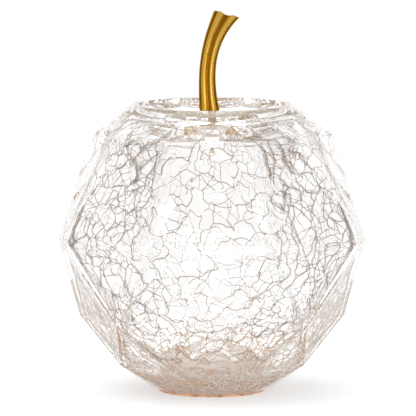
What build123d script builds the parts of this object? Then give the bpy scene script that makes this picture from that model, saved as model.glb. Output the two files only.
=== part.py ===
from build123d import *
import math
import os

# Faceted crackle-glass apple with a fluted cast stem, standing on a cork pad.
# Millimetres and degrees, +Z up. The origin is the middle of the pad's underside, and the stem
# curves towards +X.

# Base pad
PAD_THICKNESS = 1.2
PAD_MARGIN = 0.6
PAD_EDGE_ROUND = 0.4

# Facet rings of the glass: radius out to the corners, and height above the underside of the glass
FACET_SIDES = 8
FOOT_RING_RADIUS = 29.5
HEEL_RING_RADIUS = 49.5
HEEL_RING_HEIGHT = 13.8
LOWER_RING_RADIUS = 66.5
LOWER_RING_HEIGHT = 36.8
BELLY_RING_RADIUS = 82.2
BELLY_RING_HEIGHT = 77.8
SHOULDER_RING_RADIUS = 60.5
SHOULDER_RING_HEIGHT = 127.8
RIM_RING_RADIUS = 42.0
GLASS_HEIGHT = 143.3

# Dish in the top of the glass, with a flat seat for the stem
RIM_LAND = 1.5
DISH_DEPTH = 14.0
SEAT_RADIUS = 8.5

# Hollow of the glass: a smaller copy of the facets, below the dish and above a raised floor
SIDE_WALL = 5.7
RIM_WALL = 6.0
CROWN_WALL = 7.0
CEILING_RADIUS = 22.0
FLOOR_WALL = 8.8
FLOOR_RISE = 12.0
RISE_RADIUS = 24.5
RISE_SPREAD = 2.5
HOLLOW_ROUNDING = 0.35

# Fixing of the stem
PIN_RADIUS = 2.0
PIN_IN_STEM = 9.0
PIN_PAST_CROWN = 1.5
PIN_CHAMFER = 0.4
ADHESIVE_THICKNESS = 1.0
WASHER_RADIUS = 7.0
WASHER_THICKNESS = 1.0
WASHER_CLEARANCE = 0.2

# Stem: a curve in the XZ plane, with round lobes between lengthwise grooves
STEM_RISE = 58.0
STEM_REACH = 7.4
STEM_FOOT_LEAN = -7.8
STEM_TIP_LEAN = 34.5
STEM_TIP_CUT_LEAN = 16.0
STEM_WAIST_RADIUS = 4.05
STEM_FOOT_FLARE = 2.1
STEM_TIP_FLARE = 2.75
STEM_FLARE_POWER = 6
STEM_LOBES = 5
STEM_GROOVE_DEPTH = 0.8
STEM_STATIONS = 9
STEM_POINTS_PER_LOBE = 6
TIP_HOLLOW_DEPTH = 1.2

# Heights above the table
GLASS_BOTTOM = PAD_THICKNESS
GLASS_TOP = GLASS_BOTTOM + GLASS_HEIGHT
SEAT_HEIGHT = GLASS_TOP - DISH_DEPTH
CEILING_HEIGHT = SEAT_HEIGHT - CROWN_WALL
CREST_HEIGHT = GLASS_TOP - RIM_WALL
FLOOR_HEIGHT = GLASS_BOTTOM + FLOOR_WALL
RISE_HEIGHT = FLOOR_HEIGHT + FLOOR_RISE
BELLY_HEIGHT = GLASS_BOTTOM + BELLY_RING_HEIGHT
STEM_FOOT_HEIGHT = SEAT_HEIGHT + WASHER_THICKNESS

# A facet ring's flats lie nearer the axis than its corners by this ratio
FLAT_RATIO = math.cos(math.pi / FACET_SIDES)
DISH_RADIUS = RIM_RING_RADIUS * FLAT_RATIO - RIM_LAND
BORE_RADIUS = PIN_RADIUS + ADHESIVE_THICKNESS

# Radius and height above the table of each facet ring
FACET_RINGS = [
    (FOOT_RING_RADIUS, GLASS_BOTTOM),
    (HEEL_RING_RADIUS, GLASS_BOTTOM + HEEL_RING_HEIGHT),
    (LOWER_RING_RADIUS, GLASS_BOTTOM + LOWER_RING_HEIGHT),
    (BELLY_RING_RADIUS, BELLY_HEIGHT),
    (SHOULDER_RING_RADIUS, GLASS_BOTTOM + SHOULDER_RING_HEIGHT),
    (RIM_RING_RADIUS, GLASS_TOP),
]


def ring_corners(radius, height, half_steps):
    """Corners of one facet ring, turned about the axis by a number of half steps."""
    step = 2 * math.pi / FACET_SIDES
    turns = [(corner + half_steps / 2) * step for corner in range(FACET_SIDES)]
    return [(radius * math.cos(turn), radius * math.sin(turn), height) for turn in turns]


def flat_facet(*corners):
    """A plane face with the given corners."""
    return Face(Wire.make_polygon(corners, close=True))


def faceted_solid(rings):
    """Solid with triangles between rings of corners, each ring turned half a step from the last."""
    corners = [ring_corners(radius, height, index) for index, (radius, height) in enumerate(rings)]
    facets = [flat_facet(*corners[0]), flat_facet(*corners[-1])]
    for lower, upper in zip(corners, corners[1:]):
        for corner in range(FACET_SIDES):
            following = (corner + 1) % FACET_SIDES
            facets.append(flat_facet(lower[corner], lower[following], upper[corner]))
            facets.append(flat_facet(lower[following], upper[following], upper[corner]))
    return Solid(Shell(facets))


def spin_profile(*edges):
    """Solid of revolution about Z from a closed outline drawn in the XZ plane."""
    outline = make_face(Curve() + list(edges))
    return revolve(Plane.XZ * outline, Axis.Z)


def dish_space():
    """Space above the dish: a flat seat, then a bowl that rises to the rim."""
    seat_edge = (SEAT_RADIUS, SEAT_HEIGHT)
    lip = (DISH_RADIUS, GLASS_TOP)
    return spin_profile(
        Line((0, SEAT_HEIGHT), seat_edge),
        TangentArc(seat_edge, lip, tangent=(1, 0)),
        Line(lip, (0, GLASS_TOP)),
        Line((0, GLASS_TOP), (0, SEAT_HEIGHT)),
    )


def corner_rounds(points):
    """Radius for each inner corner of an outline, whose round takes a set share of its shorter run."""
    radii = []
    for before, corner, after in zip(points, points[1:], points[2:]):
        first_run = Vector(corner) - Vector(before)
        second_run = Vector(after) - Vector(corner)
        half_turn = math.radians(first_run.get_angle(second_run)) / 2
        shorter_run = min(first_run.length, second_run.length)
        radii.append(HOLLOW_ROUNDING * shorter_run / math.tan(half_turn))
    return radii


def spun_block(outline, far_height):
    """Solid of revolution between a rounded outline, drawn outwards from the axis, and a level face."""
    inner, outer = outline[0], outline[-1]
    far_corner = (outer[0], far_height)
    return spin_profile(
        FilletPolyline(*outline, radius=corner_rounds(outline)),
        Line(outer, far_corner),
        Line(far_corner, (0, far_height)),
        Line((0, far_height), inner),
    )


def crown_block():
    """Glass between the dish and the hollow: a level ceiling that slopes up to a crest under the rim."""
    outline = [
        (0, CEILING_HEIGHT),
        (CEILING_RADIUS, CEILING_HEIGHT),
        (DISH_RADIUS, CREST_HEIGHT),
        (RIM_RING_RADIUS, CREST_HEIGHT),
    ]
    return spun_block(outline, GLASS_TOP)


def base_block():
    """Glass under the hollow, with its floor raised in the middle."""
    outline = [
        (0, RISE_HEIGHT),
        (RISE_RADIUS, RISE_HEIGHT),
        (RISE_RADIUS + RISE_SPREAD, FLOOR_HEIGHT),
        (HEEL_RING_RADIUS, FLOOR_HEIGHT),
    ]
    return spun_block(outline, GLASS_BOTTOM)


def hollow_space():
    """Space inside the glass: the facets drawn in by one wall, less the crown and the base."""
    share = 1 - SIDE_WALL / (BELLY_RING_RADIUS * FLAT_RATIO)
    rings = [
        (radius * share, BELLY_HEIGHT + (height - BELLY_HEIGHT) * share)
        for radius, height in FACET_RINGS
    ]
    return faceted_solid(rings) - crown_block() - base_block()


def round_bar(radius, bottom, top):
    """Upright cylinder on the axis between two heights."""
    return Pos(0, 0, bottom) * Cylinder(radius, top - bottom, align=(Align.CENTER, Align.CENTER, Align.MIN))


def make_glass_body():
    blow_hole = round_bar(BORE_RADIUS, CEILING_HEIGHT, SEAT_HEIGHT)
    return faceted_solid(FACET_RINGS) - dish_space() - hollow_space() - blow_hole


def stem_centre(share):
    """Point of the stem's centre line at a share of its rise, and its lean from upright there."""
    foot_slope = math.tan(math.radians(STEM_FOOT_LEAN)) * STEM_RISE
    tip_slope = math.tan(math.radians(STEM_TIP_LEAN)) * STEM_RISE
    bend = foot_slope + tip_slope - 2 * STEM_REACH
    sway = 3 * STEM_REACH - 2 * foot_slope - tip_slope
    across = foot_slope * share + sway * share**2 + bend * share**3
    slope = foot_slope + 2 * sway * share + 3 * bend * share**2
    lean = math.degrees(math.atan2(slope, STEM_RISE))
    return Vector(across, 0, STEM_FOOT_HEIGHT + STEM_RISE * share), lean


def stem_section_plane(share):
    """Plane of one section: flat on the washer, cut obliquely at the tip, square to the curve between."""
    centre, lean = stem_centre(share)
    if share == 0:
        lean = 0
    if share == 1:
        lean = STEM_TIP_CUT_LEAN
    lean = math.radians(lean)
    across = (math.cos(lean), 0, -math.sin(lean))
    along = (math.sin(lean), 0, math.cos(lean))
    return Plane(origin=centre, x_dir=across, z_dir=along)


def stem_section(share):
    """Lobed outline of the stem, with a groove facing the front."""
    radius = (
        STEM_WAIST_RADIUS
        + STEM_FOOT_FLARE * (1 - share)**STEM_FLARE_POWER
        + STEM_TIP_FLARE * share**STEM_FLARE_POWER
    )
    count = STEM_LOBES * STEM_POINTS_PER_LOBE
    points = []
    for index in range(count):
        turn = 2 * math.pi * index / count
        reach = radius - STEM_GROOVE_DEPTH * (1 + math.cos(STEM_LOBES * turn)) / 2
        points.append((reach * math.sin(turn), -reach * math.cos(turn)))
    return stem_section_plane(share) * make_face(Spline(*points, periodic=True))


def make_stem():
    sections = [stem_section(station / (STEM_STATIONS - 1)) for station in range(STEM_STATIONS)]
    stem = loft(sections)
    tip_radius = STEM_WAIST_RADIUS + STEM_TIP_FLARE
    ball_radius = (tip_radius**2 + TIP_HOLLOW_DEPTH**2) / (2 * TIP_HOLLOW_DEPTH)
    tip = stem_section_plane(1)
    stem -= tip * Pos(0, 0, ball_radius - TIP_HOLLOW_DEPTH) * Sphere(ball_radius)
    return stem - round_bar(PIN_RADIUS, STEM_FOOT_HEIGHT, STEM_FOOT_HEIGHT + PIN_IN_STEM)


def make_stem_pin():
    pin = round_bar(PIN_RADIUS, CEILING_HEIGHT - PIN_PAST_CROWN, STEM_FOOT_HEIGHT + PIN_IN_STEM)
    return chamfer(pin.edges().filter_by(GeomType.CIRCLE), PIN_CHAMFER)


def make_stem_washer():
    hole = round_bar(PIN_RADIUS + WASHER_CLEARANCE, SEAT_HEIGHT, STEM_FOOT_HEIGHT)
    return round_bar(WASHER_RADIUS, SEAT_HEIGHT, STEM_FOOT_HEIGHT) - hole


def make_pin_adhesive():
    core = round_bar(PIN_RADIUS, CEILING_HEIGHT, SEAT_HEIGHT)
    return round_bar(BORE_RADIUS, CEILING_HEIGHT, SEAT_HEIGHT) - core


def make_base_pad():
    pad = round_bar(FOOT_RING_RADIUS * FLAT_RATIO - PAD_MARGIN, 0, PAD_THICKNESS)
    return fillet(pad.edges().filter_by(GeomType.CIRCLE), PAD_EDGE_ROUND)


PIECES = {
    "glass_body": make_glass_body,
    "stem": make_stem,
    "stem_washer": make_stem_washer,
    "stem_pin": make_stem_pin,
    "pin_adhesive": make_pin_adhesive,
    "base_pad": make_base_pad,
}

os.makedirs("parts", exist_ok=True)
for name, make_piece in PIECES.items():
    piece = make_piece()
    piece.label = name
    export_step(piece, f"parts/{name}.step")
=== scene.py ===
"""Looks of a faceted crackle-glass apple with a fluted gold stem, modelled around its CAD frame.

Lengths are in metres, in the frame of the CAD: +Z is up, -Y is the front and the stem curves towards +X.
"""

import logging
import math
import random
from abc import ABC, abstractmethod
from collections.abc import Callable, Sequence
from dataclasses import dataclass, replace
from enum import Enum

import bmesh
import bpy
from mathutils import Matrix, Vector, noise
from mathutils.bvhtree import BVHTree


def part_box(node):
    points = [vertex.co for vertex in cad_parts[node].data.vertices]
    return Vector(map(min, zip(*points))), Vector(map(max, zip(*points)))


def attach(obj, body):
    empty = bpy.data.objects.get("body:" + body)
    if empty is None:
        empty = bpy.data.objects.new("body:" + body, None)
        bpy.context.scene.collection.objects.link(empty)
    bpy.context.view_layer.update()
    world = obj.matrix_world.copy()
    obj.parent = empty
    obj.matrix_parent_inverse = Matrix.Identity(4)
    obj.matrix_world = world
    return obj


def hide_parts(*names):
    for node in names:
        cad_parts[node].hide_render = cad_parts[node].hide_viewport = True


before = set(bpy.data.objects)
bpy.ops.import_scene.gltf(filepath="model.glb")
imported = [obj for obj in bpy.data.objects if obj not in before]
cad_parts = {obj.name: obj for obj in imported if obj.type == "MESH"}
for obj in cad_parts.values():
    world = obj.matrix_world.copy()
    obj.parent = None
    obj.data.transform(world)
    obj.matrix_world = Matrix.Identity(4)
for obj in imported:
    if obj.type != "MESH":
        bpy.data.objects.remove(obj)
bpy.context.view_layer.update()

MM = 0.001
BODY = "root"
IMAGE_PIXELS = 416
WELD = 0.001 * MM
SAME_POINT = 10 * WELD
SPIN_STEPS = 144
ROUND_STEPS = 12
FLAT_WEIGHT = 80

Colour = tuple[float, float, float, float]
Corner = tuple[float, float]
Stops = Sequence[tuple[float, Colour]]
Feeds = dict[int | str, object]
Pair = tuple[Vector, Vector]

log = logging.getLogger("glass_apple")


class Node(Enum):
    """CAD nodes of the apple."""

    GLASS_BODY = "glass_body"
    STEM = "stem"
    STEM_WASHER = "stem_washer"
    STEM_PIN = "stem_pin"
    PIN_ADHESIVE = "pin_adhesive"
    BASE_PAD = "base_pad"


class Slot(Enum):
    """Names of material slots; no piece in this script takes its finish from them."""

    GLASS = "clear_glass"
    GOLD = "gold_metal"


class Wire:
    """One output socket in a material; arithmetic on it adds Math nodes."""

    def __init__(self, sheet: "NodeSheet", socket: bpy.types.NodeSocket) -> None:
        """Keeps the socket and the sheet that it is on."""
        self.sheet = sheet
        self.socket = socket

    def _join(self, operation: str, first: "Wire | float", second: "Wire | float") -> "Wire":
        """Adds one Math node with two inputs."""
        return self.sheet.add("ShaderNodeMath", {"operation": operation}, {0: first, 1: second})

    def __add__(self, other: "Wire | float") -> "Wire":
        """This value plus another."""
        return self._join("ADD", self, other)

    def __radd__(self, other: float) -> "Wire":
        """A number plus this value."""
        return self._join("ADD", other, self)

    def __sub__(self, other: "Wire | float") -> "Wire":
        """This value less another."""
        return self._join("SUBTRACT", self, other)

    def __mul__(self, other: "Wire | float") -> "Wire":
        """This value times another."""
        return self._join("MULTIPLY", self, other)

    def __rmul__(self, other: float) -> "Wire":
        """A number times this value."""
        return self._join("MULTIPLY", other, self)

    def __pow__(self, power: float) -> "Wire":
        """This value raised to a power."""
        return self._join("POWER", self, power)

    def __gt__(self, limit: float) -> "Wire":
        """1 where this value is above a limit, 0 elsewhere."""
        return self._join("GREATER_THAN", self, limit)


class NodeSheet:
    """The nodes of one material or world, with one method that adds any node."""

    def __init__(self, owner: bpy.types.Material | bpy.types.World) -> None:
        """Clears the nodes of the material or world."""
        owner.use_nodes = True
        self.owner = owner
        self.tree = owner.node_tree
        self.tree.nodes.clear()

    def add(
        self,
        kind: str,
        settings: dict[str, object] | None = None,
        feeds: Feeds | None = None,
        output: int | str = 0,
    ) -> Wire:
        """Adds a node.

        Args:
            kind: The node's type.
            settings: Its properties, set first; stops gives a colour ramp's (place, colour) pairs.
            feeds: Values or wires for its sockets, by number or name.
            output: The socket that the result reads.

        Returns:
            The node's output.
        """
        node = self.tree.nodes.new(kind)
        for name, value in (settings or {}).items():
            if name == "stops":
                self._set_stops(node.color_ramp.elements, value)
            else:
                setattr(node, name, value)
        for key, value in (feeds or {}).items():
            if isinstance(value, Wire):
                self.tree.links.new(value.socket, node.inputs[key])
            else:
                node.inputs[key].default_value = value
        return Wire(self, node.outputs[output])

    def _set_stops(self, elements: bpy.types.ColorRampElements, stops: Stops) -> None:
        """Gives a colour ramp its stops."""
        while len(elements) < len(stops):
            elements.new(1.0)
        for element, (place, colour) in zip(elements, stops):
            element.position = place
            element.color = colour

    def place(self, stretch: tuple[float, float, float] = (1.0, 1.0, 1.0)) -> Wire:
        """Object coordinates, stretched by a factor along each axis."""
        coordinates = self.add("ShaderNodeTexCoord", output="Object")
        return self.add("ShaderNodeMapping", {}, {"Vector": coordinates, "Scale": stretch})

    def grain(self, place: Wire, scale: float, detail: float = 2.0) -> Wire:
        """Noise of a number of waves a metre, from 0 to 1."""
        return self.add("ShaderNodeTexNoise", {}, {"Vector": place, "Scale": scale, "Detail": detail})

    def ramp(self, value: Wire, stops: Stops) -> Wire:
        """A colour for each value, between stops."""
        return self.add("ShaderNodeValToRGB", {"stops": stops}, {0: value})

    def relief(self, height: Wire, depth: float, strength: float) -> Wire:
        """A normal raised by a height, in metres of depth."""
        feeds = {"Height": height, "Distance": depth, "Strength": strength}
        return self.add("ShaderNodeBump", {}, feeds, "Normal")

    def mark(self, name: str) -> Wire:
        """A value kept on the points of the mesh."""
        return self.add("ShaderNodeAttribute", {"attribute_name": name}, {}, "Fac")

    def blend(self, share: Wire, first: Wire, second: Wire | Colour) -> Wire:
        """One colour that turns into another by a share."""
        return self.add("ShaderNodeMix", {"data_type": "RGBA"}, {0: share, 6: first, 7: second}, 2)

    def close(self, shader: Wire, kind: str = "ShaderNodeOutputMaterial") -> None:
        """Joins a shader to the output."""
        end = self.tree.nodes.new(kind)
        self.tree.links.new(shader.socket, end.inputs["Surface"])


def new_sheet(name: str) -> NodeSheet:
    """Nodes of a new material."""
    return NodeSheet(bpy.data.materials.new(name))


@dataclass(frozen=True)
class Finish(ABC):
    """A finish with one Principled surface."""

    name: str

    @abstractmethod
    def feeds(self, sheet: NodeSheet) -> Feeds:
        """What the surface is fed with."""

    def material(self) -> bpy.types.Material:
        """The finish as a material."""
        sheet = new_sheet(self.name)
        sheet.close(sheet.add("ShaderNodeBsdfPrincipled", {}, self.feeds(sheet)))
        return sheet.owner


@dataclass(frozen=True)
class GlassFinish(Finish):
    """Clear blown glass with a faint ripple."""

    index: float = 1.5
    ripple_scale: float = 30.0
    ripple_depth: float = 0.05 * MM
    ripple_strength: float = 0.6
    haze: float = 0.0
    through: float = 1.0
    clear: Colour = (1.0, 1.0, 1.0, 1.0)
    cast: Colour = (0.995, 0.985, 0.972, 1.0)

    def feeds(self, sheet: NodeSheet) -> Feeds:
        """What the surface is fed with."""
        ripple = sheet.grain(sheet.place(), self.ripple_scale)
        return {
            "Base Color": sheet.ramp(ripple, [(0.35, self.clear), (0.7, self.cast)]),
            "Roughness": self.haze,
            "IOR": self.index,
            "Transmission Weight": self.through,
            "Normal": sheet.relief(ripple, self.ripple_depth, self.ripple_strength),
        }


@dataclass(frozen=True)
class FlakeFinish(Finish):
    """Glass broken into pale flakes, with warm streaks and a few dark bits."""

    name: str = "flaked_glass"
    pale: Colour = (1.0, 0.95, 0.91, 1.0)
    pink: Colour = (1.0, 0.87, 0.79, 1.0)
    warm: Colour = (0.95, 0.50, 0.24, 1.0)
    dark: Colour = (0.30, 0.21, 0.16, 1.0)
    flake_scale: float = 110.0
    flake_stretch: tuple[float, float, float] = (1.0, 1.0, 3.5)
    bit_scale: float = 130.0
    bit_limit: float = 0.74
    flake_depth: float = 0.6 * MM
    flake_strength: float = 0.5
    index: float = 1.5
    through: float = 0.1

    def feeds(self, sheet: NodeSheet) -> Feeds:
        """What the surface is fed with."""
        flake = sheet.grain(sheet.place(self.flake_stretch), self.flake_scale, 4.0)
        bits = sheet.grain(sheet.place(), self.bit_scale, 1.0)
        tones = [(0.3, self.warm), (0.4, self.pink), (0.55, self.pale), (0.7, self.pink)]
        return {
            "Base Color": sheet.blend(bits > self.bit_limit, sheet.ramp(flake, tones), self.dark),
            "Roughness": 0.35 + 0.3 * flake,
            "IOR": self.index,
            "Transmission Weight": self.through,
            "Normal": sheet.relief(flake, self.flake_depth, self.flake_strength),
        }


@dataclass(frozen=True)
class CrackFinish(Finish):
    """Lips of a crack in flat colour with no gloss, clear at their tips; the cracks are real, and their
    colour is painted reflection of what a crack's air gap mirrors.
    """

    name: str = "crack_wall"
    pale: Colour = (0.40, 0.235, 0.125, 1.0)
    dark: Colour = (0.24, 0.125, 0.06, 1.0)
    tone_scale: float = 60.0
    tip_alpha: float = 0.15
    mouth_alpha: float = 0.9
    fall: float = 4.0

    def feeds(self, sheet: NodeSheet) -> Feeds:
        """What the surface is fed with."""
        tone = sheet.grain(sheet.place(), self.tone_scale)
        line = sheet.mark("fade")**self.fall
        alpha = self.tip_alpha + (self.mouth_alpha - self.tip_alpha) * line
        return {
            # Painted reflection: this flat colour stands in for the light and shade that a crack's air gap
            # reflects.
            "Base Color": sheet.ramp(tone, [(0.35, self.dark), (0.65, self.pale)]),
            "Roughness": 0.55 + 0.2 * tone,
            "Specular IOR Level": 0.0,
            "Alpha": sheet.mark("bold") * alpha,
        }


@dataclass(frozen=True)
class GoldFinish(Finish):
    """Satin cast metal, with painted shade darkening the grooves and a painted highlight brightening the
    lobes.
    """

    name: str = "satin_gold"
    # crest is a painted highlight for the lobes, groove is painted shade for the grooves, flank lies
    # between them
    crest: Colour = (0.52, 0.325, 0.062, 1.0)
    flank: Colour = (0.37, 0.19, 0.02, 1.0)
    groove: Colour = (0.17, 0.066, 0.002, 1.0)
    edge: Colour = (0.6, 0.42, 0.18, 1.0)
    streak_scale: float = 260.0
    streak_stretch: tuple[float, float, float] = (1.0, 1.0, 0.22)
    pit_scale: float = 420.0
    pit_edge: float = 0.30
    pit_floor: float = 0.24
    pit_tarnish: float = 0.5
    cast_scale: float = 1500.0
    cast_depth: float = 0.06 * MM
    cast_strength: float = 0.35

    def feeds(self, sheet: NodeSheet) -> Feeds:
        """What the surface is fed with."""
        place = sheet.place()
        streak = sheet.grain(sheet.place(self.streak_stretch), self.streak_scale, 3.0)
        pits = sheet.grain(place, self.pit_scale, 1.0)
        reach = {"From Min": self.pit_edge, "From Max": self.pit_floor, "To Max": self.pit_tarnish}
        pit = sheet.add("ShaderNodeMapRange", {}, {"Value": pits, **reach})
        # The groove mark lays painted shade into the grooves; streaks and pits add marks that vary at
        # random.
        groove_shade_and_tarnish = sheet.mark("groove") + 0.5 * (streak - 0.5) + pit
        cast = sheet.grain(place, self.cast_scale)
        return {
            "Base Color": sheet.ramp(groove_shade_and_tarnish, [(0.12, self.crest), (0.5, self.flank), (0.88, self.groove)]),
            "Metallic": 1.0,
            "Roughness": 0.30 + 0.16 * streak,
            "Specular Tint": self.edge,
            "Normal": sheet.relief(cast - 1.5 * pit, self.cast_depth, self.cast_strength),
        }


@dataclass(frozen=True)
class CorkFinish(Finish):
    """Fine-grained pressed cork, with a patchy pale coat of adhesive on its top, made near white as painted
    light for a top that lies in shade under the glass.
    """

    name: str = "pressed_cork"
    pale: Colour = (0.86, 0.53, 0.33, 1.0)
    tan: Colour = (0.74, 0.40, 0.23, 1.0)
    dark: Colour = (0.42, 0.19, 0.09, 1.0)
    # The top colours, coated and bare, are painted light: far paler than the cork, to lift its shaded top.
    painted_light_film: Colour = (1.0, 0.98, 0.95, 1.0)
    bare: Colour = (1.0, 0.82, 0.60, 1.0)
    film_height: float = 1.1 * MM
    film_scale: float = 110.0
    granule_scale: float = 650.0
    granule_depth: float = 0.25 * MM
    granule_strength: float = 0.5
    dust_scale: float = 2600.0

    def feeds(self, sheet: NodeSheet) -> Feeds:
        """What the surface is fed with."""
        place = sheet.place()
        granules = {"Vector": place, "Scale": self.granule_scale}
        granule = sheet.add("ShaderNodeTexVoronoi", {}, granules, "Color")
        tone = sheet.add("ShaderNodeSeparateColor", {}, {"Color": granule}, 0)
        seam = sheet.add("ShaderNodeTexVoronoi", {"feature": "DISTANCE_TO_EDGE"}, granules, "Distance")
        dust = sheet.grain(place, self.dust_scale)
        cork = sheet.ramp(tone, [(0.04, self.dark), (0.16, self.tan), (0.9, self.pale)])
        top_coat_and_painted_light = sheet.ramp(sheet.grain(place, self.film_scale, 3.0), [(0.38, self.bare), (0.5, self.painted_light_film)])
        height = sheet.add("ShaderNodeSeparateXYZ", {}, {"Vector": place}, "Z")
        return {
            # Painted light: above a set height the pad takes its lightened top colours.
            "Base Color": sheet.blend(height > self.film_height, cork, top_coat_and_painted_light),
            "Roughness": 0.75 + 0.2 * dust,
            "Normal": sheet.relief(seam + 0.2 * dust, self.granule_depth, self.granule_strength),
        }


@dataclass(frozen=True)
class SiliconeFinish(Finish):
    """Translucent soft washer."""

    name: str = "clear_silicone"
    pale: Colour = (0.93, 0.91, 0.87, 1.0)
    dusty: Colour = (0.84, 0.80, 0.74, 1.0)
    bloom_scale: float = 300.0
    index: float = 1.41

    def feeds(self, sheet: NodeSheet) -> Feeds:
        """What the surface is fed with."""
        bloom = sheet.grain(sheet.place(), self.bloom_scale)
        return {
            "Base Color": sheet.ramp(bloom, [(0.3, self.pale), (0.75, self.dusty)]),
            "Roughness": 0.35 + 0.25 * bloom,
            "IOR": self.index,
            "Alpha": 0.15 + 0.3 * bloom,
        }


@dataclass(frozen=True)
class BrassFinish(Finish):
    """Turned brass with fine lines round the pin."""

    name: str = "turned_brass"
    bright: Colour = (0.80, 0.58, 0.26, 1.0)
    dull: Colour = (0.62, 0.40, 0.14, 1.0)
    line_scale: float = 900.0
    line_stretch: tuple[float, float, float] = (0.1, 0.1, 1.0)

    def feeds(self, sheet: NodeSheet) -> Feeds:
        """What the surface is fed with."""
        lines = sheet.grain(sheet.place(self.line_stretch), self.line_scale, 3.0)
        return {
            "Base Color": sheet.ramp(lines, [(0.3, self.dull), (0.7, self.bright)]),
            "Metallic": 1.0,
            "Roughness": 0.22 + 0.2 * lines,
        }


@dataclass(frozen=True)
class ResinFinish(Finish):
    """Cured adhesive, a little cloudy."""

    name: str = "cured_resin"
    clear: Colour = (0.97, 0.94, 0.88, 1.0)
    cloudy: Colour = (0.90, 0.84, 0.74, 1.0)
    cloud_scale: float = 500.0

    def feeds(self, sheet: NodeSheet) -> Feeds:
        """What the surface is fed with."""
        cloud = sheet.grain(sheet.place(), self.cloud_scale)
        return {
            "Base Color": sheet.ramp(cloud, [(0.35, self.clear), (0.7, self.cloudy)]),
            "Roughness": 0.12 + 0.2 * cloud,
            "Specular IOR Level": 0.0,
            "Alpha": 0.05 + 0.15 * cloud,
        }


def deselect_all() -> None:
    """Leaves edit mode and deselects every object."""
    if bpy.context.mode != "OBJECT":
        bpy.ops.object.mode_set(mode="OBJECT")
    bpy.ops.object.select_all(action="DESELECT")


def close_edit(name: str) -> bpy.types.Object:
    """Leaves edit mode, names the piece and puts its place in its mesh.

    Args:
        name: The piece's name.

    Returns:
        The piece.
    """
    bpy.ops.object.mode_set(mode="OBJECT")
    bpy.ops.object.transform_apply(location=True, rotation=True, scale=True)
    piece = bpy.context.active_object
    piece.name = name
    piece.data.name = name
    return piece


def select_points(test: Callable[[bmesh.types.BMVert], bool]) -> None:
    """Selects the points of the mesh in edit mode that pass a test, and no others."""
    bpy.ops.mesh.select_mode(type="VERT")
    bpy.ops.mesh.select_all(action="DESELECT")
    mesh = bpy.context.active_object.data
    points = bmesh.from_edit_mesh(mesh)
    for point in points.verts:
        point.select_set(test(point))
    points.select_flush_mode()
    bmesh.update_edit_mesh(mesh)


def activate(piece: bpy.types.Object) -> None:
    """Makes a piece the only selected object and the active one."""
    deselect_all()
    piece.select_set(True)
    bpy.context.view_layer.objects.active = piece


def apply_modifier(piece: bpy.types.Object, kind: str, settings: dict[str, object]) -> None:
    """Adds a modifier with its settings and applies it."""
    modifier = piece.modifiers.new(kind.lower(), kind)
    for name, value in settings.items():
        setattr(modifier, name, value)
    activate(piece)
    bpy.ops.object.modifier_apply(modifier=modifier.name)


def cut_away(piece: bpy.types.Object, cutter: bpy.types.Object) -> None:
    """Cuts one solid out of another, gives the cut its finish and removes the cutter."""
    settings = {"operation": "DIFFERENCE", "solver": "EXACT", "material_mode": "TRANSFER", "object": cutter}
    apply_modifier(piece, "BOOLEAN", settings)
    bpy.data.objects.remove(cutter)


def shade(piece: bpy.types.Object, angle: float) -> None:
    """Shades a piece smooth across edges up to an angle, and keeps its flats flat."""
    activate(piece)
    bpy.ops.object.shade_smooth_by_angle(angle=angle)
    apply_modifier(piece, "WEIGHTED_NORMAL", {"keep_sharp": True, "weight": FLAT_WEIGHT})


def facing(normal: Vector, way: Vector) -> Vector:
    """A copy of a normal, turned round where it points against a way."""
    return normal.copy() if normal.dot(way) > 0 else -normal


def spun_solid(
    name: str, corners: Sequence[Corner], rounds: dict[int, float], steps: int = SPIN_STEPS
) -> bpy.types.Object:
    """Spins an outline about the Z axis into a closed solid.

    Args:
        name: The solid's name.
        corners: Radius and height of the outline's corners, from the axis round to the axis.
        rounds: How far along its edges a corner is rounded, by the corner's number.
        steps: Steps of the spin.

    Returns:
        The solid.
    """
    deselect_all()
    bpy.ops.mesh.primitive_plane_add(size=MM)
    bpy.ops.object.mode_set(mode="EDIT")
    bpy.ops.mesh.select_all(action="SELECT")
    bpy.ops.mesh.merge(type="CENTER")
    bpy.ops.transform.translate(value=(corners[0][0], 0, corners[0][1]))
    for (radius, height), (next_radius, next_height) in zip(corners, corners[1:]):
        step = (next_radius - radius, 0, next_height - height)
        bpy.ops.mesh.extrude_vertices_move(TRANSFORM_OT_translate={"value": step})
    for index, length in rounds.items():
        corner = Vector((corners[index][0], 0, corners[index][1]))
        select_points(lambda point: (point.co - corner).length < SAME_POINT)
        bpy.ops.mesh.bevel(offset=length, segments=ROUND_STEPS, affect="VERTICES")
    bpy.ops.mesh.select_all(action="SELECT")
    bpy.ops.mesh.spin(steps=steps, angle=math.tau, center=(0, 0, 0), axis=(0, 0, 1))
    bpy.ops.mesh.select_all(action="SELECT")
    bpy.ops.mesh.remove_doubles(threshold=WELD)
    bpy.ops.mesh.normals_make_consistent(inside=False)
    return close_edit(name)


@dataclass(frozen=True)
class Ring:
    """A ring of facet corners, turned by a number of half steps."""

    radius: float
    height: float
    half_steps: int


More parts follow.
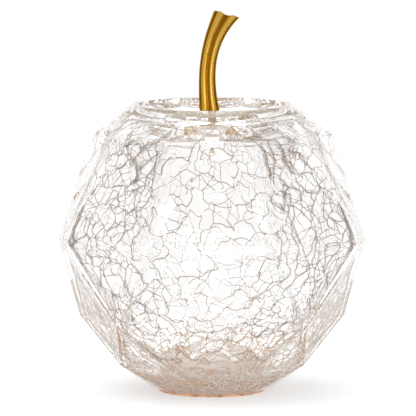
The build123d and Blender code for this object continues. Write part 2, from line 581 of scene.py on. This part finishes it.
@dataclass
class FacetedGlass:
    """The blown glass body: flat facets outside, a hollow with softened facets and a dish in the top."""

    sides: int = 8
    foot_radius: float = 29.5 * MM
    heel_radius: float = 49.5 * MM
    heel_rise: float = 13.8 * MM
    lower_radius: float = 66.5 * MM
    lower_rise: float = 36.8 * MM
    belly_radius: float = 82.2 * MM
    belly_rise: float = 77.8 * MM
    shoulder_radius: float = 60.5 * MM
    shoulder_rise: float = 127.8 * MM
    rim_radius: float = 42.0 * MM
    rim_land: float = 1.5 * MM
    dish_depth: float = 14.0 * MM
    seat_radius: float = 8.5 * MM
    low_wall: float = 4.0 * MM
    belly_wall: float = 5.0 * MM
    shoulder_wall: float = 10.0 * MM
    rim_wall: float = 6.0 * MM
    crown_wall: float = 7.0 * MM
    ceiling_radius: float = 22.0 * MM
    floor_wall: float = 8.8 * MM
    floor_rise: float = 10.0 * MM
    rise_radius: float = 24.5 * MM
    rise_detail: int = 4
    rise_squash: float = 0.8
    top_squash: float = 0.1
    crag: float = 1.3 * MM
    crag_evenness: float = 0.4
    crag_seed: int = 5
    rounding: float = 0.35
    edge_round: float = 0.35 * MM
    edge_steps: int = 3
    edge_angle: float = math.radians(3)
    same_plane: float = math.radians(0.2)
    hollow_grid: float = 2.0 * MM
    hollow_softness: float = 0.5
    hollow_smoothing: int = 12
    glue_depth: float = 0.03 * MM
    past: float = 8.0 * MM
    bore_steps: int = 48
    shading_angle: float = math.radians(14)

    def __post_init__(self) -> None:
        """Takes the heights and the bore from the frame."""
        low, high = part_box(Node.GLASS_BODY.value)
        self.bottom = low.z
        self.top = high.z
        self.seat = self.top - self.dish_depth + self.glue_depth
        self.ceiling = self.seat - self.crown_wall
        self.floor = self.bottom + self.floor_wall
        self.belly_height = self.bottom + self.belly_rise
        self.flat_ratio = math.cos(math.pi / self.sides)
        self.dish_radius = self.rim_radius * self.flat_ratio - self.rim_land
        self.bore_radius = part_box(Node.STEM_PIN.value)[1].x - self.glue_depth

    def rings(self) -> list[Ring]:
        """Rings of the outside, each turned half a step from the last."""
        corners = [
            (self.foot_radius, self.bottom - self.glue_depth),
            (self.heel_radius, self.bottom + self.heel_rise),
            (self.lower_radius, self.bottom + self.lower_rise),
            (self.belly_radius, self.belly_height),
            (self.shoulder_radius, self.bottom + self.shoulder_rise),
            (self.rim_radius, self.top),
        ]
        return [Ring(radius, height, index) for index, (radius, height) in enumerate(corners)]

    def hollow_rings(self) -> list[Ring]:
        """Rings of the hollow: above the belly only the wide facets, behind a wall that thickens."""
        *low, belly, shoulder, rim = self.rings()
        waist = belly.radius - self.belly_wall / self.flat_ratio
        neck = (shoulder.radius - self.shoulder_wall) / self.flat_ratio
        return [
            *(replace(ring, radius=ring.radius - self.low_wall) for ring in low),
            replace(belly, radius=waist),
            replace(shoulder, radius=neck, half_steps=belly.half_steps),
            replace(rim, radius=rim.radius - self.shoulder_wall),
        ]

    def faceted_solid(self, name: str, rings: Sequence[Ring]) -> bpy.types.Object:
        """Stretches flat facets over rings of corners.

        Args:
            name: The solid's name.
            rings: The rings, from the foot up.

        Returns:
            The solid.
        """
        deselect_all()
        for ring in rings:
            turn = (0, 0, ring.half_steps * math.pi / self.sides)
            bpy.ops.mesh.primitive_circle_add(
                vertices=self.sides, radius=ring.radius, location=(0, 0, ring.height), rotation=turn
            )
            if bpy.context.mode == "OBJECT":
                bpy.ops.object.mode_set(mode="EDIT")
        bpy.ops.mesh.select_all(action="SELECT")
        bpy.ops.mesh.convex_hull(join_triangles=False)
        bpy.ops.mesh.select_all(action="SELECT")
        bpy.ops.mesh.dissolve_limited(angle_limit=self.same_plane)
        return close_edit(name)

    def dish(self) -> bpy.types.Object:
        """The space of the dish: a flat seat, then a bowl that rises to the rim."""
        out, up = self.dish_radius - self.seat_radius, self.dish_depth
        turn = 2 * math.atan2(up, out)
        bowl_radius = math.hypot(out, up) / (2 * math.sin(turn / 2))
        run = bowl_radius * math.tan(turn / 2)
        corner = (self.seat_radius + run, self.seat)
        reach = run + self.past
        outer = (corner[0] + reach * math.cos(turn), corner[1] + reach * math.sin(turn))
        lid = self.top + 2 * self.past
        outline = [(0, self.seat), corner, outer, (outer[0], lid), (0, lid)]
        return spun_solid("dish", outline, {1: run})

    def block(self, name: str, outline: Sequence[Corner], far: float) -> bpy.types.Object:
        """Spins the glass between a rounded outline and a level face.

        Args:
            name: The block's name.
            outline: Corners outwards from the axis.
            far: Height of the level face.

        Returns:
            The block.
        """
        runs = [math.dist(first, second) for first, second in zip(outline, outline[1:])]
        rounds = {index + 1: self.rounding * min(pair) for index, pair in enumerate(zip(runs, runs[1:]))}
        return spun_solid(name, [*outline, (outline[-1][0], far), (0, far)], rounds)

    def hollow(self) -> bpy.types.Object:
        """The space inside the glass: softened facets, less the crown, the base and the lump."""
        space = self.faceted_solid("hollow", self.hollow_rings())
        crackled = GlassFinish("crackled_glass", ripple_scale=70.0, ripple_depth=0.08 * MM)
        space.data.materials.append(crackled.material())
        crest = self.top - self.rim_wall
        crown = [
            (0, self.ceiling),
            (self.ceiling_radius, self.ceiling),
            (self.dish_radius, crest),
            (self.belly_radius, crest),
        ]
        cut_away(space, self.block("crown", crown, self.top + self.past))
        base = [(0, self.floor), (self.belly_radius, self.floor)]
        cut_away(space, self.block("base", base, self.bottom - self.past))
        apply_modifier(space, "REMESH", {"mode": "VOXEL", "voxel_size": self.hollow_grid})
        softening = {"factor": self.hollow_softness, "iterations": self.hollow_smoothing}
        apply_modifier(space, "SMOOTH", softening)
        lump = self.lump()
        lump.data.materials.append(FlakeFinish().material())
        cut_away(space, lump)
        return space

    def lump(self) -> bpy.types.Object:
        """The raised glass on the floor of the hollow, broken into small facets."""
        foot = (0, 0, self.floor)
        crest = (0, 0, self.floor + self.floor_rise)
        deselect_all()
        size = {"subdivisions": self.rise_detail, "radius": self.rise_radius}
        bpy.ops.mesh.primitive_ico_sphere_add(location=foot, **size)
        bpy.ops.object.mode_set(mode="EDIT")
        bpy.ops.mesh.select_all(action="SELECT")
        bpy.ops.transform.resize(value=(1, 1, self.rise_squash), center_override=foot)
        select_points(lambda point: point.co.z > self.floor_rise)
        bpy.ops.transform.resize(value=(1, 1, self.top_squash), center_override=crest)
        bpy.ops.mesh.select_all(action="SELECT")
        bpy.ops.transform.vertex_random(offset=self.crag, uniform=self.crag_evenness, seed=self.crag_seed)
        return close_edit("lump")

    def blow_hole(self) -> bpy.types.Object:
        """The bore through the crown."""
        low, high = self.ceiling - self.past, self.seat + self.past / 2
        corners = [(0, low), (self.bore_radius, low), (self.bore_radius, high), (0, high)]
        return spun_solid("blow_hole", corners, {}, self.bore_steps)

    def build(
        self, body: bpy.types.Object, dish: bpy.types.Object, hollow: bpy.types.Object
    ) -> bpy.types.Object:
        """Models the body.

        Args:
            body: The plain solid with its facets.
            dish: The space of the dish, which is used up.
            hollow: The space inside, which is used up.

        Returns:
            The body.
        """
        polished = GlassFinish("polished_glass").material()
        body.data.materials.append(polished)
        bevel = {"width": self.edge_round, "segments": self.edge_steps, "angle_limit": self.edge_angle}
        apply_modifier(body, "BEVEL", {"limit_method": "ANGLE", **bevel})
        for cutter in (dish, self.blow_hole()):
            cutter.data.materials.append(polished)
            cut_away(body, cutter)
        cut_away(body, hollow)
        shade(body, self.shading_angle)
        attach(body, BODY)
        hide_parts(Node.GLASS_BODY.value)
        return body


# The pale base, foot and dish crack colours are painted reflection in the same way.
BASE_CRACK = CrackFinish(
    "base_crack",
    pale=(1.0, 0.95, 0.88, 1.0),
    dark=(1.0, 0.80, 0.61, 1.0),
    tip_alpha=0.4,
    mouth_alpha=0.8,
    fall=2.0,
)
FOOT_CRACK = CrackFinish(
    "foot_crack",
    pale=(1.0, 0.99, 0.97, 1.0),
    dark=(1.0, 0.88, 0.75, 1.0),
    tone_scale=90.0,
    tip_alpha=0.5,
    fall=1.0,
)
DISH_CRACK = CrackFinish(
    "dish_crack",
    pale=(0.93, 0.86, 0.75, 1.0),
    dark=(0.82, 0.70, 0.54, 1.0),
    tip_alpha=0.45,
    mouth_alpha=0.75,
    fall=2.0,
)


class Side(Enum):
    """Way that a crack runs from its surface: towards the middle of its cells, or away from it."""

    INWARD = -1
    OUTWARD = 1


class Zone(Enum):
    """Part of the glass that a net covers; the dish's net lies under it."""

    WALL = "wall"
    CROWN = "crown"
    BASE = "base"
    FOOT = "foot"
    DISH = "dish"


@dataclass(frozen=True)
class Ground:
    """A surface that cracks run from, and the height of the middle that their cells are spread round."""

    surface: BVHTree
    middle: float

    @classmethod
    def of(cls, solid: bpy.types.Object, middle: float) -> "Ground":
        """The surface of a solid."""
        return cls(BVHTree.FromObject(solid, bpy.context.evaluated_depsgraph_get()), middle)


@dataclass(frozen=True)
class CrackNet:
    """One net of cracks: the edges of round cells, bent and in part left out."""

    name: str
    zone: Zone
    cells: int
    seed: int
    left_out: float
    mouth: float
    depth: float
    faintest: float
    side: Side = Side.INWARD
    finish: CrackFinish = CrackFinish()
    skin: float = 0.05 * MM
    sparse: float = 0.0


@dataclass
class Crackle:
    """The nets of fine cracks in the glass."""

    grounds: dict[Zone, Ground]
    nets: tuple[CrackNet, ...] = (
        CrackNet(
            "crackle_main", Zone.WALL, cells=720, seed=11, left_out=0.03, sparse=0.28,
            mouth=0.3 * MM, depth=1.0 * MM, faintest=0.7,
        ),
        CrackNet(
            "crackle_fine", Zone.WALL, cells=800, seed=23, left_out=0.25, sparse=0.5,
            mouth=0.2 * MM, depth=0.6 * MM, faintest=0.4,
        ),
        CrackNet(
            "crackle_crown", Zone.CROWN, cells=520, seed=53, left_out=0.2,
            mouth=0.28 * MM, depth=0.5 * MM, faintest=0.5, skin=0.3 * MM,
        ),
        CrackNet(
            "crackle_base", Zone.BASE, cells=4600, seed=37, left_out=0.12, finish=BASE_CRACK,
            mouth=0.34 * MM, depth=1.8 * MM, faintest=0.5, skin=0.3 * MM,
        ),
        CrackNet(
            "crackle_foot", Zone.FOOT, cells=7000, seed=61, left_out=0.05, finish=FOOT_CRACK,
            mouth=0.7 * MM, depth=1.0 * MM, faintest=0.6, skin=0.2 * MM,
        ),
        CrackNet(
            "crackle_dish", Zone.DISH, cells=900, seed=41, left_out=0.1, finish=DISH_CRACK,
            mouth=0.15 * MM, depth=1.6 * MM, faintest=0.5, skin=0.3 * MM, side=Side.OUTWARD,
        ),
    )
    wander: tuple[tuple[float, float], ...] = ((4.0, 0.09), (11.0, 0.035), (30.0, 0.010))
    noise_reach: float = 50.0
    jitter: float = 0.45
    step: float = 0.018
    bulge: float = 0.16
    lean: float = math.radians(25)
    depth_range: tuple[float, float] = (0.5, 1.2)
    crown_height: float = 118.0 * MM
    crown_radius: float = 37.0 * MM
    rim_height: float = 143.5 * MM
    washer_clear: float = 9.0 * MM
    base_front: float = 42.0 * MM
    base_side: float = 66.0 * MM
    foot_height: float = 2.0 * MM
    heel_height: float = 14.0 * MM
    patches: float = 45.0
    patch_level: float = 0.75
    patch_swing: float = 0.35
    front_half: float = 0.7
    bend_seed: int = 3
    lump_height: float = 21.0 * MM
    clear_back: float = 10.0 * MM
    crown_foot: float = 121.0 * MM

    def covers(self, zone: Zone, spot: Vector) -> bool:
        """Whether the cracks of a zone reach a point."""
        radius = math.hypot(spot.x, spot.y)
        if zone is Zone.DISH:
            return spot.z < self.rim_height and radius > self.washer_clear and spot.y < self.clear_back
        if zone is Zone.CROWN:
            return self.crown_foot < spot.z < self.rim_height and spot.y < self.clear_back
        if zone is Zone.FOOT:
            return self.foot_height < spot.z < self.heel_height
        if zone is Zone.BASE:
            patchy = self.patch_level + self.patch_swing * noise.noise(spot * self.patches)
            height = self.base_front + (self.base_side - self.base_front) * abs(spot.x) / radius
            return self.foot_height < spot.z < height * patchy
        on_crown = radius < self.crown_radius and spot.z > self.crown_height
        return not on_crown and spot.z > self.lump_height

    def scatter(self, draw: random.Random, count: int) -> list[Vector]:
        """Spreads points over a unit sphere along a spiral, each moved a little at random."""
        reach = self.jitter * math.sqrt(4 * math.pi / count)
        golden = math.pi * (3 - math.sqrt(5))
        points = []
        for index in range(count):
            height = 1 - (2 * index + 1) / count
            radius = math.sqrt(1 - height**2)
            spot = Vector((radius * math.cos(golden * index), radius * math.sin(golden * index), height))
            points.append((spot + Vector([draw.gauss(0, reach) for _ in range(3)])).normalized())
        return points

    def cell_edges(self, points: Sequence[Vector]) -> list[Pair]:
        """Edges between the cells of points on a sphere, as pairs of directions."""
        hull = bmesh.new()
        bmesh.ops.convex_hull(hull, input=[hull.verts.new(point) for point in points])
        hull.normal_update()
        edges = []
        for edge in hull.edges:
            if len(edge.link_faces) == 2:
                ends = [facing(face.normal, edge.verts[0].co) for face in edge.link_faces]
                edges.append(tuple(sorted(ends, key=tuple)))
        hull.free()
        edges.sort(key=lambda pair: tuple(pair[0]) + tuple(pair[1]))
        return edges

    def trace(self, net: CrackNet, draw: random.Random, shift: Vector, ends: Pair) -> list[Pair]:
        """Follows one crack over its surface.

        Args:
            net: The net that it belongs to.
            draw: Source of random numbers.
            shift: Place of the net's bends in the noise.
            ends: Directions of its two ends from the middle.

        Returns:
            Points on the surface with its normal, away from the middle of the cells.
        """
        first, second = ends
        span = (second - first).length
        count = max(3, int(span / self.step) + 2)
        aside = first.cross(second).normalized() * span * draw.uniform(-self.bulge, self.bulge)
        ground = self.grounds[net.zone]
        centre = Vector((0, 0, ground.middle))
        found = []
        for index in range(count):
            share = index / (count - 1)
            way = first.lerp(second, share) + aside * math.sin(math.pi * share)
            way.normalize()
            for waves, reach in self.wander:
                way += noise.noise_vector(way * waves + shift) * reach
            way.normalize()
            spot, normal, _, _ = ground.surface.ray_cast(centre, way)
            if spot is not None and self.covers(net.zone, spot):
                found.append((spot, facing(normal, way)))
        return found

    def add_crack(
        self, mesh: bmesh.types.BMesh, net: CrackNet, draw: random.Random, line: Sequence[Pair]
    ) -> None:
        """Adds one crack as a closed wedge, wide at its surface and thin at its tip.

        Args:
            mesh: The mesh that it is added to.
            net: The net that it belongs to.
            draw: Source of random numbers.
            line: Points on the surface with their normals.
        """
        fade = mesh.verts.layers.float["fade"]
        bold = mesh.verts.layers.float["bold"]
        lean = draw.uniform(-self.lean, self.lean)
        depth = net.depth * draw.uniform(*self.depth_range)
        strength = draw.uniform(net.faintest, 1.0)
        rows = []
        for index, (spot, normal) in enumerate(line):
            ahead = line[min(index + 1, len(line) - 1)][0] - line[max(index - 1, 0)][0]
            side = ahead.cross(normal).normalized()
            way = normal * net.side.value
            root = spot + way * net.skin
            half = side * net.mouth * strength / 2
            tip = root + (side * math.sin(lean) + way * math.cos(lean)) * depth
            row = [mesh.verts.new(place) for place in (root + half, root - half, tip)]
            row[0][fade] = 1.0
            row[1][fade] = 1.0
            for point in row:
                point[bold] = strength
            rows.append(row)
        for back, front in zip(rows, rows[1:]):
            for corner in range(3):
                after = (corner + 1) % 3
                mesh.faces.new((back[corner], back[after], front[after], front[corner]))
        mesh.faces.new(reversed(rows[0]))
        mesh.faces.new(rows[-1])

    def build(self) -> list[bpy.types.Object]:
        """Models and dresses the nets.

        Returns:
            One piece for each net.
        """
        pieces = []
        noise.seed_set(self.bend_seed)
        for net in self.nets:
            spread = random.Random(net.seed)
            edges = self.cell_edges(self.scatter(spread, net.cells))
            shift = Vector([spread.uniform(-self.noise_reach, self.noise_reach) for _ in range(3)])
            mesh = bmesh.new()
            mesh.verts.layers.float.new("fade")
            mesh.verts.layers.float.new("bold")
            for ends in edges:
                middle = (ends[0] + ends[1]) / 2
                draw = random.Random(f"{net.seed} {middle.x:.3f} {middle.y:.3f} {middle.z:.3f}")
                fewer = net.sparse * max(0.0, 1 - abs(middle.x) / self.front_half)
                if draw.random() < net.left_out + fewer:
                    continue
                line = self.trace(net, draw, shift, ends)
                if len(line) > 1:
                    self.add_crack(mesh, net, draw, line)
            bmesh.ops.recalc_face_normals(mesh, faces=mesh.faces)
            piece = bpy.data.objects.new(net.name, bpy.data.meshes.new(net.name))
            mesh.to_mesh(piece.data)
            mesh.free()
            bpy.context.scene.collection.objects.link(piece)
            piece.data.materials.append(net.finish.material())
            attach(piece, BODY)
            pieces.append(piece)
        return pieces


@dataclass
class FlutedStem:
    """The cast stem: five lobes between grooves, curved to one side and flared at both ends."""

    rise: float = 58.0 * MM
    reach: float = 7.4 * MM
    foot_lean: float = math.radians(-7.8)
    tip_lean: float = math.radians(34.5)
    cut_lean: float = math.radians(16.0)
    waist_radius: float = 4.05 * MM
    foot_flare: float = 2.4 * MM
    tip_flare: float = 2.75 * MM
    foot_power: int = 4
    tip_power: int = 6
    lobes: int = 5
    groove_depth: float = 0.8 * MM
    notch: float = 2.0 * MM
    notch_power: int = 3
    back_fall: float = 0.14
    points_per_lobe: int = 16
    stations: int = 56
    foot_share: float = 0.12
    washer_gap: float = 0.02 * MM
    shading_angle: float = math.radians(40)
    lip: tuple[tuple[float, float], ...] = (
        (0.96, 0.12 * MM),
        (0.9, 0.05 * MM),
        (0.8, -0.35 * MM),
        (0.55, -0.95 * MM),
        (0.25, -1.2 * MM),
    )

    def __post_init__(self) -> None:
        """Takes the height of the foot from the frame."""
        self.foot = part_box(Node.STEM.value)[0].z + self.washer_gap

    def centre(self, share: float) -> Vector:
        """Point of the centre line at a share of the rise."""
        foot_slope, sway, bend = self._curve()
        across = foot_slope * share + sway * share**2 + bend * share**3
        return Vector((across, 0, self.foot + self.rise * share))

    def _curve(self) -> tuple[float, float, float]:
        """Terms of the cubic that the centre line follows."""
        foot_slope = math.tan(self.foot_lean) * self.rise
        tip_slope = math.tan(self.tip_lean) * self.rise
        sway = 3 * self.reach - 2 * foot_slope - tip_slope
        bend = foot_slope + tip_slope - 2 * self.reach
        return foot_slope, sway, bend

    def tilt(self, share: float) -> float:
        """Lean of the section at a share of the rise: level at the foot, and at most the tip's cut."""
        foot_slope, sway, bend = self._curve()
        slope = foot_slope + 2 * sway * share + 3 * bend * share**2
        return min(math.atan2(slope, self.rise), self.cut_lean) * min(share / self.foot_share, 1.0)

    def radius(self, share: float) -> float:
        """Radius over the lobes at a share of the rise."""
        foot = self.foot_flare * (1 - share)**self.foot_power
        tip = self.tip_flare * share**self.tip_power
        return self.waist_radius + foot + tip

    def _first_ring(self) -> None:
        """Draws the lobed outline of the foot and marks how deep in a groove each point lies."""
        count = self.lobes * self.points_per_lobe
        radius = self.radius(0)
        bpy.ops.mesh.primitive_circle_add(vertices=count, radius=radius, location=self.centre(0))
        bpy.ops.object.mode_set(mode="EDIT")
        mesh = bpy.context.active_object.data
        ring = bmesh.from_edit_mesh(mesh)
        ring.verts.layers.float.new("groove")
        bmesh.update_edit_mesh(mesh)
        for step in range(self.points_per_lobe):
            deep = (1 - math.cos(math.tau * step / self.points_per_lobe)) / 2
            select_points(lambda point: point.index % self.points_per_lobe == step)
            share = 1 - deep * self.groove_depth / self.waist_radius
            bpy.ops.transform.resize(value=(share, share, 1), center_override=self.centre(0))
            ring = bmesh.from_edit_mesh(mesh)
            groove = ring.verts.layers.float["groove"]
            for point in ring.verts:
                if point.select:
                    point[groove] = deep
            bmesh.update_edit_mesh(mesh)
        bpy.ops.mesh.select_all(action="SELECT")

    def _next_ring(self, move: Vector, turn: float, size: float, centre: Vector) -> None:
        """Extrudes the selected ring, then turns and resizes it about its new centre.

        Args:
            move: Way to the new centre.
            turn: Added lean.
            size: Factor on the ring's size.
            centre: The new centre.
        """
        bpy.ops.mesh.extrude_edges_move(TRANSFORM_OT_translate={"value": move})
        if turn:
            bpy.ops.transform.rotate(value=-turn, orient_axis="Y", center_override=centre)
        bpy.ops.transform.resize(value=(size, size, size), center_override=centre)

    def _notch_tip(self, axis: Vector) -> None:
        """Draws the selected last ring down along an axis, in its front groove and at its back."""
        mesh = bpy.context.active_object.data
        ring = bmesh.from_edit_mesh(mesh)
        groove = ring.verts.layers.float["groove"]
        for point in ring.verts:
            if point.select:
                front = max(0.0, -point.co.y / self.radius(1))**self.notch_power
                point.co -= axis * (self.notch * point[groove] * front + self.back_fall * point.co.y)
        bmesh.update_edit_mesh(mesh)

    def build(self) -> bpy.types.Object:
        """Models and dresses the stem.

        Returns:
            The stem.
        """
        deselect_all()
        self._first_ring()
        for station in range(self.stations):
            share, following = station / self.stations, (station + 1) / self.stations
            centre = self.centre(following)
            turn = self.tilt(following) - self.tilt(share)
            growth = self.radius(following) / self.radius(share)
            self._next_ring(centre - self.centre(share), turn, growth, centre)
        axis = Vector((math.sin(self.tilt(1)), 0, math.cos(self.tilt(1))))
        self._notch_tip(axis)
        size, height = 1.0, 0.0
        for next_size, next_height in self.lip:
            centre = self.centre(1) + axis * next_height
            self._next_ring(axis * (next_height - height), 0, next_size / size, centre)
            size, height = next_size, next_height
        bpy.ops.mesh.edge_face_add()
        select_points(lambda point: point.co.z < WELD)
        bpy.ops.mesh.edge_face_add()
        bpy.ops.mesh.select_all(action="SELECT")
        bpy.ops.mesh.normals_make_consistent(inside=False)
        stem = close_edit("fluted_stem")
        shade(stem, self.shading_angle)
        stem.data.materials.append(GoldFinish().material())
        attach(stem, BODY)
        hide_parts(Node.STEM.value)
        return stem


@dataclass(frozen=True)
class Fittings:
    """The small pieces whose CAD shape is kept: the washer, the pin, its adhesive and the pad."""

    finishes: tuple[tuple[Node, Finish], ...] = (
        (Node.STEM_WASHER, SiliconeFinish()),
        (Node.STEM_PIN, BrassFinish()),
        (Node.PIN_ADHESIVE, ResinFinish()),
        (Node.BASE_PAD, CorkFinish()),
    )

    def dress(self) -> list[bpy.types.Object]:
        """Gives each node its finish, and lists the nodes."""
        dressed = []
        for node, finish in self.finishes:
            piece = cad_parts[node.value]
            piece.data.materials.clear()
            piece.data.materials.append(finish.material())
            dressed.append(piece)
        return dressed


@dataclass(frozen=True)
class Lamp:
    """One soft round lamp, turned towards the apple."""

    name: str
    power: float
    size: float
    spot: tuple[float, float, float]


@dataclass
class Studio:
    """Pale floor, white surround, two soft lamps and the camera."""

    floor_size: float = 6.0
    floor_colour: Colour = (0.99, 0.99, 0.99, 1.0)
    floor_glow: float = 0.45
    shadow_reach: float = 0.15
    floor_end: float = 0.6
    surround: Colour = (1.0, 1.0, 1.0, 1.0)
    surround_light: float = 1.0
    lamps: tuple[Lamp, ...] = (
        Lamp("front_lamp", 6.0, 0.5, (0.22, -1.4, 0.28)),
        Lamp("top_lamp", 12.0, 1.6, (-0.2, 0.05, 1.25)),
    )
    aim: tuple[float, float, float] = (-2.0 * MM, 0.0, 92.1 * MM)
    elevation: float = math.radians(6.3)
    distance: float = 2.4
    pixel: float = 0.502 * MM
    sensor: float = 36.0
    bounces: int = 48

    def _seen(self, sheet: NodeSheet) -> Wire:
        """1 for camera, mirror and see-through rays, 0 for rays that only light the object."""
        rays = ("Is Camera Ray", "Is Glossy Ray", "Is Transmission Ray")
        camera, mirror, through = (sheet.add("ShaderNodeLightPath", output=ray) for ray in rays)
        return sheet.add("ShaderNodeClamp", {}, {"Value": camera + mirror + through})

    def lay_floor(self) -> None:
        """Lays the floor, which keeps a soft shadow."""
        deselect_all()
        bpy.ops.mesh.primitive_plane_add(size=self.floor_size)
        floor = bpy.context.active_object
        floor.name = "floor"
        sheet = new_sheet("pale_floor")
        lit = sheet.add("ShaderNodeBsdfDiffuse", {}, {"Color": self.floor_colour})
        glow = sheet.add("ShaderNodeEmission", {}, {"Color": self.surround})
        away = sheet.add("ShaderNodeVectorMath", {"operation": "LENGTH"}, {0: sheet.place()}, "Value")
        fade = {"From Min": self.shadow_reach, "From Max": self.floor_end, "To Min": self.floor_glow}
        share = self._seen(sheet) * sheet.add("ShaderNodeMapRange", {}, {"Value": away, **fade})
        sheet.close(sheet.add("ShaderNodeMixShader", {}, {0: share, 1: lit, 2: glow}))
        floor.data.materials.append(sheet.owner)

    def light(self) -> None:
        """Sets the white surround and the lamps."""
        world = bpy.data.worlds.new("surround")
        bpy.context.scene.world = world
        sheet = NodeSheet(world)
        feeds = {"Color": self.surround, "Strength": self.surround_light}
        sheet.close(sheet.add("ShaderNodeBackground", {}, feeds), "ShaderNodeOutputWorld")
        for lamp in self.lamps:
            deselect_all()
            bpy.ops.object.light_add(type="AREA", location=lamp.spot)
            piece = bpy.context.active_object
            piece.name = lamp.name
            piece.data.shape = "DISK"
            piece.data.size = lamp.size
            piece.data.energy = lamp.power
            way = Vector(self.aim) - Vector(lamp.spot)
            piece.rotation_euler = way.to_track_quat("-Z", "Y").to_euler()

    def place_camera(self) -> None:
        """Places the camera, and lets light pass through all the walls of the glass."""
        scene = bpy.context.scene
        back = Vector((0, -math.cos(self.elevation), math.sin(self.elevation)))
        turn = (math.pi / 2 - self.elevation, 0, 0)
        bpy.ops.object.camera_add(location=Vector(self.aim) + back * self.distance, rotation=turn)
        camera = bpy.context.active_object
        camera.data.sensor_width = self.sensor
        camera.data.lens = self.sensor * self.distance / (IMAGE_PIXELS * self.pixel)
        scene.camera = camera
        scene.view_settings.view_transform = "Standard"
        for kind in ("diffuse", "glossy", "transmission", "transparent_max", "max"):
            setattr(scene.cycles, f"{kind}_bounces", self.bounces)


def main() -> None:
    """Builds the sub-assemblies in order and reports each piece."""
    logging.basicConfig(level=logging.INFO, format="%(name)s: %(message)s")
    glass = FacetedGlass()
    body = glass.faceted_solid("apple_glass", glass.rings())
    dish = glass.dish()
    hollow = glass.hollow()
    outside = Ground.of(body, glass.belly_height)
    grounds = {
        Zone.WALL: Ground.of(hollow, glass.belly_height),
        Zone.CROWN: outside,
        Zone.BASE: outside,
        Zone.FOOT: outside,
        Zone.DISH: Ground.of(dish, glass.top),
    }
    pieces = [glass.build(body, dish, hollow)]
    pieces += Crackle(grounds).build()
    pieces.append(FlutedStem().build())
    pieces += Fittings().dress()
    for piece in pieces:
        log.info("%s: %d faces", piece.name, len(piece.data.polygons))
    studio = Studio()
    studio.lay_floor()
    studio.light()
    studio.place_camera()


if __name__ == "__main__":
    main()
